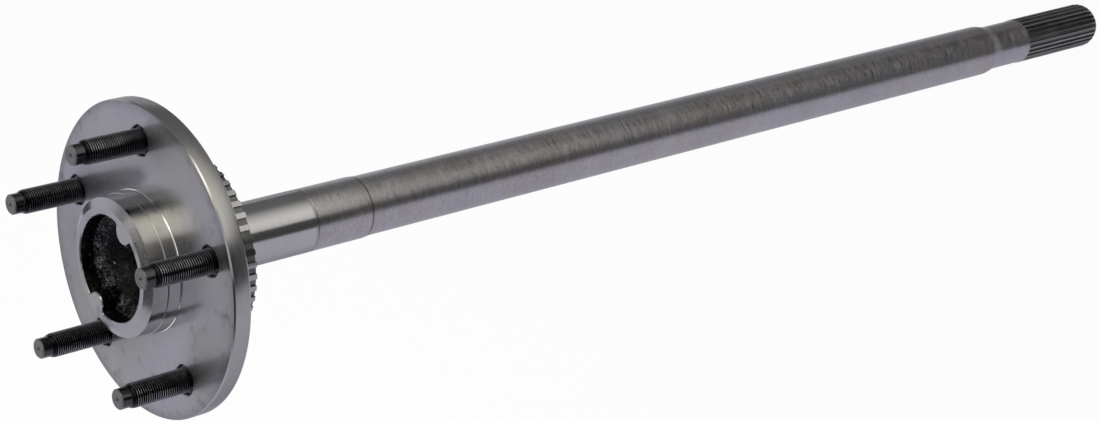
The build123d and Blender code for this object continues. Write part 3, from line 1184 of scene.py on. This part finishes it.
def room_air():
    """White air that lights the room more dimly than it looks."""
    g = Graph(bpy.data.worlds.new("studio_air"))
    dim = g.nodes["Background"]
    g.feed(dim.inputs["Color"], WHITE)
    g.feed(dim.inputs["Strength"], 0.75)
    bright = g.add("ShaderNodeBackground", {"Color": WHITE, "Strength": 1.0})
    return g.parted(g.seen(), dim, bright, "World Output")


def lit_card(name, colour, strength):
    """Even glow: a soft light when strong, a dark surface when weak."""
    return finish_graph(name).glowing(colour, strength)


def wall_glow():
    """Glow of the grey wall, almost black where it stands beside the flange."""
    g = finish_graph("card_grey")
    return g.glowing(CARD_WHITE, g.span(g.axes["Y"], 0.78, 0.95, 0.03, 0.16))


def canopy_glow(studio):
    """Glow of the soft canopy: brightest low down beside the flange, fading up and along."""
    g = finish_graph("canopy_glow")
    along = g.axes["Y"]
    up = g.span(g.axes["Z"], studio.canopy_low, studio.canopy_high, 0.0, 1.0)
    up = g.times(up, g.span(along, 0.75, 1.05, 0.8, 1.14))
    raised = g.maths("SUBTRACT", up, g.span(along, -0.3, 0.3, 0.33, 0.0))
    ramp = g.add("ShaderNodeValToRGB", {0: raised})
    levels = ((0.0, 0.66), (0.08, 1.0), (0.36, 1.0), (0.58, 0.72), (0.8, 0.48), (1.0, 0.3))
    while len(ramp.color_ramp.elements) < len(levels):
        ramp.color_ramp.elements.new(0.5)
    for element, (spot, level) in zip(ramp.color_ramp.elements, levels):
        element.position = spot
        element.color = (level, level, level, 1.0)
    warmth = g.span(along, 0.66, 0.82, 0.0, 1.0)
    strength = g.times(ramp.outputs["Color"], g.span(along, 0.9, 1.27, 1.0, 0.0))
    strength = g.times(strength, g.span(raised, -0.04, 0.0, 0.1, 1.0))
    strength = g.times(strength, studio.key_strength)
    return g.glowing(g.mixed(warmth, studio.key_warm, studio.key_colour), strength)


class AXLE_OT_studio(bpy.types.Operator):
    """Builds the pale floor, the soft lights, the dark cards and the camera"""

    bl_idname = "axle.studio"
    bl_label = "Build Studio"

    def execute(self, context):
        scene = context.scene
        studio = scene.axle.studio
        scene.view_settings.view_transform = "Standard"
        scene.world = room_air()
        floor = -studio.floor_drop
        half = 12.0
        paint = floor_paint(studio.floor_colour)
        card("floor", (-half, -half, floor), (2.0 * half, 0.0, 0.0), (0.0, 2.0 * half, 0.0), paint)
        canopy = canopy_glow(studio)
        warm = lit_card("front_glow", studio.front_colour, studio.front_strength)
        grey = wall_glow()
        dark = lit_card("card_dark", CARD_WHITE, 0.3)
        room = lit_card("room_dark", CARD_WHITE, 0.05)
        reach = studio.canopy_reach
        low = studio.canopy_low
        high = studio.canopy_high
        inner = -0.17
        start = -1.6
        along = (0.0, 5.6, 0.0)
        lights = [
            card("soft_canopy", (reach, start, low), (inner - reach, 0.0, high - low), along,
                 canopy),
            facing_card("front_light", studio.front_place, studio.front_width, warm),
        ]
        flags = [
            card("dark_wall", (reach, start, -0.25), (0.0, 0.0, 0.25 + low), along, grey),
            card("dark_above", (inner, start, high), (-0.88, 0.0, 0.55 - high), along, dark),
            card("dark_room", (-1.0, -2.2, floor), (1.6, 0.0, 0.0), (0.0, 0.0, 1.1), room),
            card("table_edge", (0.126, -0.25, floor + 0.005), (-1.59, -2.55, 0.0),
                 (2.55, -1.59, 0.0), room),
        ]
        for piece in lights + flags:
            piece.visible_camera = False
            piece.visible_shadow = False
        for flag in flags:
            flag.visible_diffuse = False
        camera = bpy.data.cameras.new("camera")
        camera.lens = studio.camera_lens
        camera.sensor_width = 36.0
        camera.sensor_fit = "HORIZONTAL"
        viewer = bpy.data.objects.new("camera", camera)
        viewer.location = studio.camera_location
        viewer.rotation_euler = studio.camera_rotation
        scene.collection.objects.link(viewer)
        scene.camera = viewer
        return {"FINISHED"}


class AxleSettings(bpy.types.PropertyGroup):
    """All sizes and finishes"""

    flange: group_prop("Flange", AxleFlangeSizes)
    pocket: group_prop("Pocket", AxlePocketSizes)
    bar: group_prop("Bar", AxleBarSizes)
    spline: group_prop("Spline", AxleSplineSizes)
    ring: group_prop("Ring", AxleRingSizes)
    stud: group_prop("Studs", AxleStudSizes)
    finishes: group_prop("Finishes", AxleFinishes)
    studio: group_prop("Studio", AxleStudio)


class AXLE_PT_panel(bpy.types.Panel):
    """Lists the steps and their sizes"""

    bl_idname = "AXLE_PT_panel"
    bl_label = "Axle Shaft"
    bl_space_type = "VIEW_3D"
    bl_region_type = "UI"
    bl_category = "Axle"

    def draw(self, context):
        settings = context.scene.axle
        steps = (
            (settings.flange, "axle.forging"),
            (settings.pocket, None),
            (settings.bar, None),
            (settings.spline, None),
            (settings.ring, "axle.ring"),
            (settings.stud, "axle.studs"),
            (settings.finishes, None),
            (settings.studio, "axle.studio"),
        )
        for group, step in steps:
            box = self.layout.box()
            for key in group.bl_rna.properties.keys():
                if key not in ("rna_type", "name"):
                    box.prop(group, key)
            if step:
                box.operator(step)


CLASSES = (
    AxleFlangeSizes,
    AxlePocketSizes,
    AxleBarSizes,
    AxleSplineSizes,
    AxleRingSizes,
    AxleStudSizes,
    AxleFinishes,
    AxleStudio,
    AxleSettings,
    AXLE_OT_forging,
    AXLE_OT_ring,
    AXLE_OT_studs,
    AXLE_OT_studio,
    AXLE_PT_panel,
)


def register():
    for item in CLASSES:
        bpy.utils.register_class(item)
    bpy.types.Scene.axle = bpy.props.PointerProperty(type=AxleSettings)


def unregister():
    del bpy.types.Scene.axle
    for item in reversed(CLASSES):
        bpy.utils.unregister_class(item)


def main():
    register()
    bpy.ops.axle.forging()
    bpy.ops.axle.ring()
    bpy.ops.axle.studs()
    bpy.ops.axle.studio()


if __name__ == "__main__":
    main()
